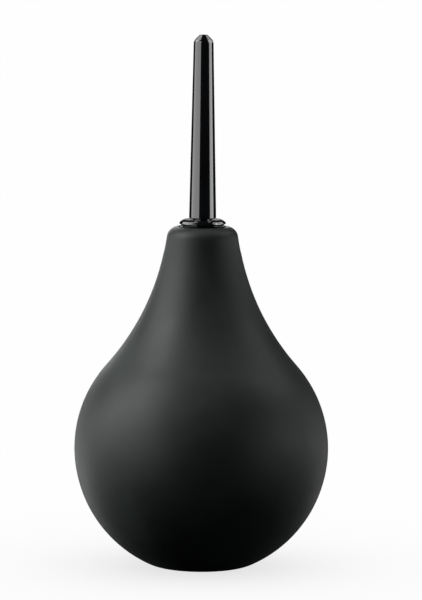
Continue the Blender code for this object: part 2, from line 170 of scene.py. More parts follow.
def fillet(before: Corner, corner: Corner, after: Corner) -> Outline:
    """Round one corner of an outline.

    Args:
        before: The corner before it.
        corner: The corner to round.
        after: The corner after it.

    Returns:
        The arc's points, or the corner itself where it stays sharp.
    """
    if corner.rounding == 0:
        return [(corner.r, corner.z)]
    place = Vector((corner.r, corner.z))
    back = Vector((before.r, before.z)) - place
    ahead = Vector((after.r, after.z)) - place
    half_turn = back.angle(ahead) / 2
    reach = min(corner.rounding / math.tan(half_turn), back.length / 2, ahead.length / 2)
    radius = reach * math.tan(half_turn)
    bisector = (back.normalized() + ahead.normalized()).normalized()
    centre = place + bisector * radius / math.sin(half_turn)
    start = angle_of(place + back.normalized() * reach - centre)
    end = angle_of(place + ahead.normalized() * reach - centre)
    swept = (end - start + 180) % 360 - 180
    return arc(centre, radius, start, start + swept, FILLET_STEP)


def trace(corners: Sequence[Corner]) -> Outline:
    """Draw an outline through corners.

    Args:
        corners: The corners in order, down the outer side and back up the inner one.

    Returns:
        The outline, with its corners rounded.
    """
    outline: Outline = []
    for i, corner in enumerate(corners):
        outline += fillet(corners[i - 1], corner, corners[(i + 1) % len(corners)])
    return [p for i, p in enumerate(outline) if math.dist(p, outline[i - 1]) > SAME_POINT]


def refined(outline: Outline, longest: float) -> Outline:
    """Split a closed outline's long stretches.

    Args:
        outline: The outline to split.
        longest: The longest stretch to leave.

    Returns:
        The same outline with more points.
    """
    finer: Outline = []
    for (r0, z0), (r1, z1) in zip(outline, outline[1:] + outline[:1]):
        count = max(1, math.ceil(math.hypot(r1 - r0, z1 - z0) / longest))
        finer += [(r0 + (r1 - r0) * i / count, z0 + (z1 - z0) * i / count) for i in range(count)]
    return finer


def even_angles(count: int) -> list[float]:
    """Angles in radians, evenly spaced round the axis."""
    return [2 * math.pi * i / count for i in range(count)]


def to_object(shape: bmesh.types.BMesh, name: str) -> Object:
    """Turn a finished shape into an object in the scene.

    Args:
        shape: The shape, which is freed.
        name: The object's name.

    Returns:
        The new object.
    """
    mesh = bpy.data.meshes.new(name)
    shape.to_mesh(mesh)
    shape.free()
    obj = bpy.data.objects.new(name, mesh)
    bpy.context.scene.collection.objects.link(obj)
    return obj


def turned(
    name: str,
    outline: Outline,
    height: float = 0.0,
    angles: Sequence[float] | None = None,
    relief: Relief | None = None,
) -> Object:
    """Turn an outline about the upright axis into a mesh object.

    Args:
        name: The object's name.
        outline: The cut face, down the outer side and back up the inner one or to the axis.
        height: What is added to every height, in millimetres.
        angles: Where the outline is repeated, in radians.
        relief: Gives the radius at (angle, r, z), where the surface isn't truly round.

    Returns:
        The new object, in metres.
    """
    turns = angles or even_angles(ROUND)
    shape = bmesh.new()
    rings = []
    for r, z in outline:
        if r < ON_AXIS:
            rings.append([shape.verts.new((0, 0, (z + height) * MM))] * len(turns))
            continue
        ring = []
        for a in turns:
            out = (relief(a, r, z) if relief else r) * MM
            ring.append(shape.verts.new((out * math.cos(a), out * math.sin(a), (z + height) * MM)))
        rings.append(ring)
    pairs = list(zip(rings, rings[1:]))
    if outline[0][0] > ON_AXIS:
        pairs.append((rings[-1], rings[0]))
    for upper, lower in pairs:
        for j in range(len(turns)):
            k = (j + 1) % len(turns)
            corners = dict.fromkeys((upper[j], lower[j], lower[k], upper[k]))
            shape.faces.new(list(corners))
    return to_object(shape, name)


@dataclass(frozen=True)
class Thread:
    """A right-handed screw thread with a round section, measured from the bulb's lip."""

    pitch: float = 2.4
    centre: float = 3.7
    section: float = 0.6
    top: float = -3.6
    bottom: float = -11.4
    run_out: float = 0.9

    def __call__(self, angle: float, r: float, z: float) -> float:
        """Radius of the threaded surface.

        Args:
            angle: Where on the surface, in radians.
            r: The plain surface's radius there.
            z: The height there, from the lip.

        Returns:
            The radius of the thread where it stands out past r, or else r.
        """
        rise = self.pitch * angle / (2 * math.pi)
        off = (z - rise + self.pitch / 2) % self.pitch - self.pitch / 2
        turn = z - off
        fade = min(self.top - turn, turn - self.bottom) / self.run_out + 0.5
        section = self.section * min(1.0, max(0.0, fade))
        if abs(off) >= section:
            return r
        return max(r, self.centre + math.sqrt(section**2 - off**2))


# --- finishes


def srgb(code: str) -> tuple[float, float, float, float]:
    """Turn an sRGB hex colour into a linear one.

    Args:
        code: The colour, such as #1C1E1D.

    Returns:
        Red, green and blue, with alpha 1.
    """
    levels = [int(code[i : i + 2], 16) / 255 for i in (1, 3, 5)]
    red, green, blue = (
        level / 12.92 if level <= 0.04045 else ((level + 0.055) / 1.055) ** 2.4 for level in levels
    )
    return (red, green, blue, 1.0)


def add_node(tree: NodeTree, kind: str, inputs: dict, **settings: object) -> Node:
    """Add a node with its settings and links.

    Args:
        tree: The node tree to add to.
        kind: The node's Blender type.
        inputs: Input name or number to a value, or to the output socket that feeds it.
        **settings: The node's own properties.

    Returns:
        The new node.
    """
    node = tree.nodes.new(kind)
    for name, value in settings.items():
        setattr(node, name, value)
    for name, value in inputs.items():
        if isinstance(value, NodeSocket):
            tree.links.new(value, node.inputs[name])
        else:
            node.inputs[name].default_value = value
    return node


def pattern_scale(size: float) -> float:
    """Scale of a procedural texture whose features are this many millimetres apart."""
    return 1 / (size * MM)


@dataclass(frozen=True)
class Canvas:
    """An empty material, with the patterns that a finish can paint on it."""

    tree: NodeTree
    shader: Node
    where: NodeSocket  # the place on the piece, in metres

    def noise(
        self, size: float, detail: float, roughness: float = 0.5, where: NodeSocket | None = None
    ) -> NodeSocket:
        """Add a cloudy pattern.

        Args:
            size: Distance between its patches, in millimetres.
            detail: How many finer layers it has.
            roughness: How strong the finer layers are.
            where: The place, where it isn't the plain place on the piece.

        Returns:
            The pattern's level.
        """
        inputs = {"Vector": where or self.where, "Scale": pattern_scale(size)}
        inputs |= {"Detail": detail, "Roughness": roughness}
        return add_node(self.tree, "ShaderNodeTexNoise", inputs).outputs["Fac"]

    def ramp(
        self, level: NodeSocket, source: Sequence[float], target: Sequence[float] = (0.0, 1.0)
    ) -> NodeSocket:
        """Add a straight ramp from one range of levels to another.

        Args:
            level: The level to change.
            source: The two levels that the ramp runs between.
            target: What it makes of them.

        Returns:
            The new level.
        """
        inputs = {"Value": level, "From Min": source[0], "From Max": source[1]}
        inputs |= {"To Min": target[0], "To Max": target[1]}
        return add_node(self.tree, "ShaderNodeMapRange", inputs).outputs["Result"]

    def product(self, first: NodeSocket, second: NodeSocket) -> NodeSocket:
        """Add the product of two levels."""
        inputs = {0: first, 1: second}
        return add_node(self.tree, "ShaderNodeMath", inputs, operation="MULTIPLY").outputs[0]

    def mix(self, level: NodeSocket, none: object, full: object) -> NodeSocket:
        """Add a mix of two colours.

        Args:
            level: How much of the second colour shows.
            none: The first colour, or the socket that gives it.
            full: The second one.

        Returns:
            The mixed colour.
        """
        inputs = {"Factor": level, MIX_FIRST: none, MIX_SECOND: full}
        mixed = add_node(self.tree, "ShaderNodeMix", inputs, data_type="RGBA")
        return mixed.outputs[MIX_RESULT]

    def coat(
        self,
        colour: NodeSocket,
        roughness: NodeSocket,
        relief: NodeSocket,
        depth: float,
        strength: float,
        ior: float,
    ) -> None:
        """Join the patterns to the shader.

        Args:
            colour: The surface's colour.
            roughness: Its roughness.
            relief: The pattern of its fine relief.
            depth: The relief's depth in millimetres.
            strength: How strongly the relief shows.
            ior: The material's refractive index.
        """
        bump = {"Strength": strength, "Distance": depth * MM, "Height": relief}
        normal = add_node(self.tree, "ShaderNodeBump", bump).outputs["Normal"]
        joined = {"Base Color": colour, "Roughness": roughness, "Normal": normal}
        for name, socket in joined.items():
            self.tree.links.new(socket, self.shader.inputs[name])
        self.shader.inputs["IOR"].default_value = ior


@dataclass(frozen=True)
class Finish:
    """A surface: what it is made of and how it was made. Each kind below paints its own nodes."""

    name: str
    slot: Slot

    def material(self) -> bpy.types.Material:
        """Make the finish's material the first time it is asked for.

        Returns:
            The material.
        """
        made = bpy.data.materials.get(self.name)
        if made is None:
            made = bpy.data.materials.new(self.name)
            made.use_nodes = True
            tree = made.node_tree
            where = add_node(tree, "ShaderNodeTexCoord", {}).outputs["Object"]
            self.paint(Canvas(tree, tree.nodes["Principled BSDF"], where))
        return made

    def paint(self, on: Canvas) -> None:
        """Paint the finish on an empty material."""
        raise NotImplementedError


@dataclass(frozen=True)
class MouldedRubber(Finish):
    """Soft black rubber from a blasted mould: matt, cool grey under light, with a faint bloom."""

    name: str = "moulded_soft_rubber"
    slot: Slot = Slot.SOFT_RUBBER
    dark: str = "#181C1B"
    bloom: str = "#222A28"
    scuff: str = "#4A4C4A"
    ior: float = 1.52
    smoothest: float = 0.50
    roughest: float = 0.62
    grain: float = 0.7  # mm. Real blasted grain is about 0.2, too fine to show at arm's length
    grain_depth: float = 0.030
    grain_strength: float = 0.5
    mottle: float = 16.0  # mm between patches of bloom
    bloom_start: float = 0.36  # level of the mottle where the bloom begins
    bloom_full: float = 0.68
    stand_height: float = 1.6  # mm of the base that rubs on the bench
    scuffing: float = 0.75  # how far the base takes the scuffed colour

    def paint(self, on: Canvas) -> None:
        """Add grain, bloom patches, handling polish and the scuffed ring that it stands on.

        Args:
            on: The material's canvas.
        """
        patches = on.noise(self.mottle, detail=4.0, roughness=0.55)
        grain = on.noise(self.grain, detail=3.0, roughness=0.6)
        cloud = on.ramp(patches, (self.bloom_start, self.bloom_full))
        skin = on.mix(cloud, srgb(self.dark), srgb(self.bloom))
        height = add_node(on.tree, "ShaderNodeSeparateXYZ", {"Vector": on.where}).outputs["Z"]
        low = on.ramp(height, (0.0, self.stand_height * MM), (self.scuffing, 0.0))
        colour = on.mix(on.product(low, grain), skin, srgb(self.scuff))
        roughness = on.ramp(patches, NOISE_RANGE, (self.smoothest, self.roughest))
        on.coat(colour, roughness, grain, self.grain_depth, self.grain_strength, self.ior)


@dataclass(frozen=True)
class GlossPlastic(Finish):
    """Black ABS from a polished mould: a deep mirror-like gloss with hairline handling marks."""

    name: str = "polished_black_abs"
    slot: Slot = Slot.GLOSS_PLASTIC
    base: str = "#050506"
    dull: str = "#0D0E0F"
    ior: float = 1.54
    smoothest: float = 0.045
    roughest: float = 0.11
    ripple: float = 5.0  # mm between the shallow waves of a moulded skin
    ripple_depth: float = 0.004
    ripple_strength: float = 0.6
    hairline: float = 0.5  # mm. Real marks are finer, and are widened to show
    stretch: float = 0.15  # a mark's thickness as a share of its length, round the piece
    haze: float = 9.0  # mm between the patches that fingers have dulled
    wear_start: float = 0.15  # level of marks and haze where the gloss begins to dull
    wear_full: float = 0.42

    def paint(self, on: Canvas) -> None:
        """Add handling haze, hairlines that run round the piece, and the skin's shallow ripple.

        Args:
            on: The material's canvas.
        """
        haze = on.noise(self.haze, detail=5.0, roughness=0.6)
        drawn_out = {"Vector": on.where, "Scale": (self.stretch, self.stretch, 1.0)}
        along = add_node(on.tree, "ShaderNodeMapping", drawn_out).outputs["Vector"]
        marks = on.noise(self.hairline, detail=2.0, where=along)
        skin = on.noise(self.ripple, detail=1.0)
        colour = on.mix(haze, srgb(self.base), srgb(self.dull))
        wear = (self.wear_start, self.wear_full)
        roughness = on.ramp(on.product(haze, marks), wear, (self.smoothest, self.roughest))
        on.coat(colour, roughness, skin, self.ripple_depth, self.ripple_strength, self.ior)


@dataclass(frozen=True)
class FineGrained(Finish):
    """A plain moulded surface with an even grain, as on nylon fittings and rubber seals."""

    base: str = "#161718"
    light: str = "#1F2122"
    ior: float = 1.53
    smoothest: float = 0.34
    roughest: float = 0.46
    grain: float = 0.35  # mm between the pits of a spark-eroded mould
    grain_depth: float = 0.015
    grain_strength: float = 0.5
    tone: float = 4.0  # mm between lighter and darker patches

    def paint(self, on: Canvas) -> None:
        """Add the mould's pits, and a slight change of tone and gloss across the piece.

        Args:
            on: The material's canvas.
        """
        tone = on.noise(self.tone, detail=4.0)
        cells = {"Vector": on.where, "Scale": pattern_scale(self.grain)}
        pits = add_node(on.tree, "ShaderNodeTexVoronoi", cells, feature="SMOOTH_F1")
        colour = on.mix(tone, srgb(self.base), srgb(self.light))
        roughness = on.ramp(tone, NOISE_RANGE, (self.smoothest, self.roughest))
        relief = pits.outputs["Distance"]
        on.coat(colour, roughness, relief, self.grain_depth, self.grain_strength, self.ior)


# Soft rubber from a blasted mould: matt, so light spreads in broad grey bands with no hard edge.
SOFT_RUBBER = MouldedRubber()
# ABS from a polished mould: near black, with long clear reflections of the lights beside it.
GLOSS_ABS = GlossPlastic()
# Glass-filled nylon straight from the mould: satin, with pits that catch the light.
NYLON = FineGrained(name="moulded_nylon", slot=Slot.PLAIN_PLASTIC)
# Nitrile rubber for seals: blacker and more even than the bulb, with a slight oily sheen.
NITRILE = FineGrained(
    name="nitrile_seal_rubber",
    slot=Slot.SEAL_RUBBER,
    base="#0E0F0F",
    light="#161717",
    smoothest=0.42,
    roughest=0.55,
)


def dress(piece: Object, finish: Finish, node: str) -> None:
    """Give a piece its surface and its place among the plain solids.

    Args:
        piece: The piece, in its place at rest.
        finish: Its surface.
        node: The plain solid that it stands for.
    """
    piece.data.materials.clear()
    piece.data.materials.append(finish.material())
    piece.data.shade_smooth()
    piece.data.set_sharp_from_angle(angle=SMOOTH_ANGLE)
    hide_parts(node)
    LOG.info("%s: %d faces", piece.name, len(piece.data.polygons))


def install(piece: Object, finish: Finish, body: Body, node: str) -> Object:
    """Dress a stiff piece and hang it on its body.

    Args:
        piece: The piece, in its place at rest.
        finish: Its surface.
        body: The body that the piece moves with.
        node: The plain solid that it stands for.

    Returns:
        The piece.
    """
    dress(piece, finish, node)
    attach(piece, body.value)
    return piece


# --- the bulb


@dataclass
class Bulb:
    """The hollow rubber bulb, between the base it stands on and the bush in its neck."""

    lip: float
    belly_radius: float
    base_flat: float = 10.5
    base_rounding: float = 14.0
    neck_radius: float = 10.65
    shoulder: float = 3.5
    flare_radius: float = 75.0
    wall: float = 2.6
    floor: float = 4.5
    recess_radius: float = 7.3
    recess_depth: float = 1.7
    valve_hole: float = 5.3
    mouth_radius: float = 7.05
    mouth_depth: float = 2.3
    neck_bore: float = 5.9
    ledge: float = 13.3  # depth of the neck bore below the lip
    ledge_width: float = 2.0
    roof_rounding: float = 2.5  # where the chamber runs in to the ledge
    lip_angle: float = 84.0  # degrees above level, where the shoulder meets the lip's inner edge
    lip_land: float = 0.47  # from the mouth out to where the shoulder begins
    lip_fall: float = 0.02  # how far the land has fallen there
    edge: float = 0.35
    parting_height: float = 0.07
    parting_width: float = 0.28
    unevenness: float = 0.10  # moulded rubber is never perfectly round
    # The unevenness as waves: lobes round the bulb, phase, height per radian of twist, share.
    waves: tuple[tuple[float, float, float, float], ...] = (
        (2, 0.6, 31.0, 1.0),
        (3, 2.1, -17.0, 0.6),
    )
    true_within: float = 1.0  # this near the base's flat, the bulb stays truly round
    fade_in: float = 6.0  # and this much further out it has all its unevenness
    still_below: float = 8.0
    still_above: float = 15.0  # depth of the stiff neck below the lip
    facets: int = 180
    # Degrees to either side of a parting line, where more facets draw it.
    seam_angles: tuple[float, ...] = (0.12, 0.25, 0.4, 0.6, 0.9, 1.3, 1.8)
    # Degrees between the outline's points: on tight curves, the base, the belly and the flare.
    tight_step: float = 6.0
    base_step: float = 3.0
    belly_step: float = 2.5
    flare_step: float = 0.8
    # The same inside, where nothing shows: on the belly, the flare and the roof.
    inner_belly_step: float = 4.0
    inner_flare_step: float = 1.5
    roof_step: float = 15.0

    def outline(self) -> Outline:
        """Draw the bulb's cut face.

        Returns:
            Its outside, valve seat, air chamber and neck bore, in that order.
        """
        base = Vector((self.base_flat, self.base_rounding))
        reach = self.belly_radius - self.base_rounding
        belly = Vector((0, self.base_rounding + math.sqrt(reach**2 - self.base_flat**2)))
        shoulder = Vector((self.neck_radius - self.shoulder, self.lip - self.shoulder))
        flare = circles_meet(
            belly,
            self.belly_radius + self.flare_radius,
            shoulder,
            self.shoulder + self.flare_radius,
        )
        to_flare = angle_of(flare - belly)
        across = angle_of(flare - shoulder)
        to_base = angle_of(base - belly)
        outside = arc(shoulder, self.shoulder, self.lip_angle, across, self.tight_step)
        outside += arc(
            flare, self.flare_radius, 180 + across, 180 + to_flare, self.flare_step
        )[1:]
        outside += arc(belly, self.belly_radius, to_flare, to_base, self.belly_step)[1:]
        outside += arc(base, self.base_rounding, to_base, -90, self.base_step)[1:]
        seat = trace(
            [
                Corner(self.base_flat, 0),
                Corner(self.recess_radius, 0, self.edge),
                Corner(self.recess_radius, self.recess_depth, self.edge / 2),
                Corner(self.valve_hole, self.recess_depth, self.edge / 2),
                Corner(self.valve_hole, self.floor, self.edge),
                Corner(self.base_flat, self.floor),
            ],
        )
        return outside + seat[1:-1] + self.chamber(belly, flare, to_flare) + self.neck()

    def chamber(self, belly: Vector, flare: Vector, to_flare: float) -> Outline:
        """Draw the air chamber's wall, from the floor up to the neck's ledge.

        Args:
            belly: Centre of the belly's ball.
            flare: Centre of the arc between belly and neck.
            to_flare: Angle from the belly's centre to the flare's, in degrees.

        Returns:
            The wall's points.
        """
        radius = self.belly_radius - self.wall
        corner = self.base_rounding - self.wall
        rise = belly.y - self.floor - corner
        low = Vector((math.sqrt((radius - corner) ** 2 - rise**2), self.floor + corner))
        inner_flare = self.flare_radius + self.wall
        drop = flare.y - self.lip + self.ledge + self.roof_rounding
        to_roof = 180 + math.degrees(math.asin(drop / inner_flare))
        to_low = angle_of(low - belly)
        wall = arc(low, corner, -90, to_low, self.tight_step)
        wall += arc(belly, radius, to_low, to_flare, self.inner_belly_step)[1:]
        wall += arc(flare, inner_flare, 180 + to_flare, to_roof, self.inner_flare_step)[1:]
        roof = (wall[-1][0] - self.roof_rounding, wall[-1][1])
        return wall + arc(roof, self.roof_rounding, 0, 90, self.roof_step)[1:]

    def neck(self) -> Outline:
        """Draw the neck's inside.

        Returns:
            The bore with its barb grooves, and the counterbored mouth, from the ledge up.
        """
        bottom = self.lip - self.ledge
        corners = [Corner(self.neck_bore, bottom, self.edge)]
        for ledge in reversed(BARB_LEDGES):
            top = self.lip + ledge + GAP
            corners += [
                Corner(self.neck_bore, self.lip + ledge - BARB_LENGTH),
                Corner(self.neck_bore + BARB, top),
                Corner(self.neck_bore, top),
            ]
        top = self.lip - self.mouth_depth
        corners += [
            Corner(self.neck_bore, top),
            Corner(self.mouth_radius, top, self.edge / 2),
            Corner(self.mouth_radius, self.lip, self.edge),
            Corner(self.mouth_radius + self.lip_land, self.lip - self.lip_fall),
        ]
        ledge = Corner(self.neck_bore + self.ledge_width, bottom)
        return trace([ledge, *corners])[1:-1]

    def relief(self, angle: float, r: float, z: float) -> float:
        """Add the mould's parting line and soft rubber's unevenness to all but base and bore.

        Args:
            angle: Where on the surface, in radians.
            r: The true radius there.
            z: The height there.

        Returns:
            The radius that the moulded bulb has there.
        """
        past = (r - self.base_flat - self.true_within) / self.fade_in
        fade = min(1.0, max(0.0, past))
        swell = sum(
            share * math.sin(lobes * angle + phase + z / twist)
            for lobes, phase, twist, share in self.waves
        )
        swell /= sum(share for *_, share in self.waves)
        off = abs(math.remainder(angle, math.pi)) * r / self.parting_width
        line = self.parting_height * math.exp(-(off**2)) if fade > 0 else 0.0
        return r + fade * self.unevenness * (swell - 1) + line

    def build(self) -> None:
        """Build and dress the bulb."""
        seam = [math.radians(a) for a in self.seam_angles]
        angles = set(even_angles(self.facets))
        for middle in (0.0, math.pi):
            angles |= {(middle + side * a) % (2 * math.pi) for a in seam for side in (-1, 1)}
        piece = turned("rubber_bulb", self.outline(), angles=sorted(angles), relief=self.relief)
        dress(piece, SOFT_RUBBER, "bulb")
        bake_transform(piece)


# --- the neck and the nozzle


@dataclass
class NeckFittings:
    """The threaded bush held in the rubber neck, and the washer that lies on it."""

    lip: float
    bush_bore: float = 4.0
    bush_radius: float = 5.6
    flange_radius: float = 6.75
    flange_top: float = -1.1
    flange_bottom: float = -2.0
    bottom: float = -13.0
    washer_hole: float = 4.75
    washer_radius: float = 6.6
    washer_thickness: float = 0.8
    edge: float = 0.12
    face_spread: float = 0.02  # share that keeps an end face's points apart at the groove's edge
    groove: Thread = field(default_factory=lambda: Thread(section=0.9, top=2.4, bottom=-15.4))

    def build_bush(self) -> None:
        """Build the bush: a flange, saw-tooth barbs outside and a thread groove inside."""
        corners = [
            Corner(self.bush_bore, self.flange_top, self.edge),
            Corner(self.flange_radius, self.flange_top, self.edge),
            Corner(self.flange_radius, self.flange_bottom, self.edge),
            Corner(self.bush_radius, self.flange_bottom),
        ]
        for ledge in BARB_LEDGES:
            corners += [
                Corner(self.bush_radius, ledge),
                Corner(self.bush_radius + BARB, ledge, self.edge),
                Corner(self.bush_radius, ledge - BARB_LENGTH),
            ]
        corners += [
            Corner(self.bush_radius, self.bottom, self.edge),
            Corner(self.bush_bore, self.bottom, self.edge),
        ]
        outline = refined(trace(corners), THREAD_STRETCH)

        def groove(angle: float, r: float, z: float) -> float:
            """Radius inside the bush: the thread runs out through both its end faces."""
            cut = self.groove(angle, self.bush_bore, z)
            return max(r, cut + self.face_spread * (r - self.bush_bore))

        piece = turned("threaded_bush", outline, self.lip, relief=groove)
        install(piece, NYLON, Body.NECK, "neck_bush")

    def build_washer(self) -> None:
        """Build the flat washer, with its edges worn round."""
        soft = self.washer_thickness / 4
        outline = trace(
            [
                Corner(self.washer_hole, 0, soft),
                Corner(self.washer_radius, 0, soft),
                Corner(self.washer_radius, -self.washer_thickness, soft),
                Corner(self.washer_hole, -self.washer_thickness, soft),
            ]
        )
        piece = turned("sealing_washer", outline, self.lip)
        install(piece, NITRILE, Body.WASHER, "captive_washer")


@dataclass
class NozzleSet:
    """The screw collar, and the nozzle tube that pushes into it on an O-ring."""

    lip: float
    rim_radius: float = 6.95
    top_radius: float = 5.6
    foot_radius: float = 6.35
    foot_height: float = 0.2
    rim_bottom: float = 0.6
    rim_bottom_rounding: float = 0.1
    rim_top: float = 0.75
    bevel_step: float = 0.45  # from the rim in to the break between the bevel's two slopes
    bevel_break: float = 1.33  # height of that break
    bevel_rounding: float = 0.5
    collar_top: float = 1.8
    top_rounding: float = 0.4
    stem_radius: float = 3.7
    stem_end: float = -12.5
    stem_chamfer: float = 0.4
    stem_margin: float = 0.05  # a point this near the stem's radius is on the stem
    stem_bore: float = 1.5
    socket_radius: float = 2.8
    socket_floor: float = -5.2
    tube_foot: float = 2.1
    tube_length: float = 54.7
    tube_base: float = 4.03
    tube_tip: float = 2.94
    tip_height: float = 1.8
    tip_rounding: float = 2.0
    tip_flat: float = 1.15
    tip_flat_rounding: float = 0.4
    foot_rounding: float = 0.35
    longest_stretch: float = 1.5
    tube_bore: float = 1.2
    orifice: float = 0.9
    orifice_depth: float = 3.0
    spigot: float = 2.6
    spigot_length: float = 7.0
    ring_depth: float = 3.5
    ring_section: float = 0.8
    ring_play: float = 0.25  # free height in its groove, above and below
    ring_step: float = 15.0  # degrees between the points of its section
    groove_radius: float = 1.84
    inner_rounding: float = 0.1  # of the groove's bottom and the tube's foot, inside
    groove_mouth: float = 0.06  # rounding of the groove's outer edges
    seal_gap: float = 0.08
    edge: float = 0.15
    thread: Thread = field(default_factory=Thread)

    def build_collar(self) -> Object:
        """Build the collar: a domed bevel, a thin rim, an undercut foot and the threaded stem.

        Returns:
            The collar.
        """
        outline = trace(
            [
                Corner(self.socket_radius, self.collar_top, self.edge),
                Corner(self.top_radius, self.collar_top, self.top_rounding),
                Corner(
                    self.rim_radius - self.bevel_step, self.bevel_break, self.bevel_rounding
                ),
                Corner(self.rim_radius, self.rim_top, self.edge),
                Corner(self.rim_radius, self.rim_bottom, self.rim_bottom_rounding),
                Corner(self.foot_radius, self.foot_height, self.edge),
                Corner(self.foot_radius, 0, self.edge),
                Corner(self.stem_radius, 0, self.edge),
                Corner(self.stem_radius, self.stem_end + self.stem_chamfer, self.edge),
                Corner(self.stem_radius - self.stem_chamfer, self.stem_end, self.edge),
                Corner(self.stem_bore, self.stem_end, self.edge),
                Corner(self.stem_bore, self.socket_floor, self.edge),
                Corner(self.socket_radius, self.socket_floor, self.edge),
            ]
        )

        def ridge(angle: float, r: float, z: float) -> float:
            """Radius outside the collar: the thread stands only on its stem."""
            on_stem = abs(r - self.stem_radius) < self.stem_margin
            return self.thread(angle, r, z + GAP) if on_stem else r

        outline = refined(outline, THREAD_STRETCH)
        piece = turned("screw_collar", outline, self.lip + GAP, relief=ridge)
        return install(piece, GLOSS_ABS, Body.COLLAR, "nozzle_collar")

    def build_tube(self) -> Object:
        """Build the nozzle: a slow taper, a blunt tip with a small orifice, and the spigot.

        Returns:
            The nozzle.
        """
        tip = self.tube_length
        upper = self.ring_section / 2 + self.ring_play - self.ring_depth
        lower = -self.ring_section / 2 - self.ring_play - self.ring_depth
        outline = trace(
            [
                Corner(self.orifice, tip, self.edge),
                Corner(self.tip_flat, tip, self.tip_flat_rounding),
                Corner(self.tube_tip, tip - self.tip_height, self.tip_rounding),
                Corner(self.tube_base, 0, self.foot_rounding),
                Corner(self.spigot, 0, self.inner_rounding),
                Corner(self.spigot, upper, self.groove_mouth),
                Corner(self.groove_radius, upper, self.inner_rounding),
                Corner(self.groove_radius, lower, self.inner_rounding),
                Corner(self.spigot, lower, self.groove_mouth),
                Corner(self.spigot, -self.spigot_length, self.foot_rounding),
                Corner(self.tube_bore, -self.spigot_length, self.edge),
                Corner(self.tube_bore, tip - 2 * self.orifice_depth),
                Corner(self.orifice, tip - self.orifice_depth),
            ]
        )
        outline = refined(outline, self.longest_stretch)
        piece = turned("air_nozzle", outline, self.lip + GAP + self.tube_foot)
        return install(piece, GLOSS_ABS, Body.NOZZLE, "nozzle_tube")

    def build_ring(self) -> None:
        """Build the O-ring in the spigot's groove."""
        radius = self.ring_section / 2
        middle = (self.groove_radius + self.seal_gap + radius, -self.ring_depth)
        outline = arc(middle, radius, 90, -270, self.ring_step)[:-1]
        piece = turned("spigot_ring", outline, self.lip + GAP + self.tube_foot)
        install(piece, NITRILE, Body.NOZZLE, "nozzle_o_ring")


# --- the inlet valve


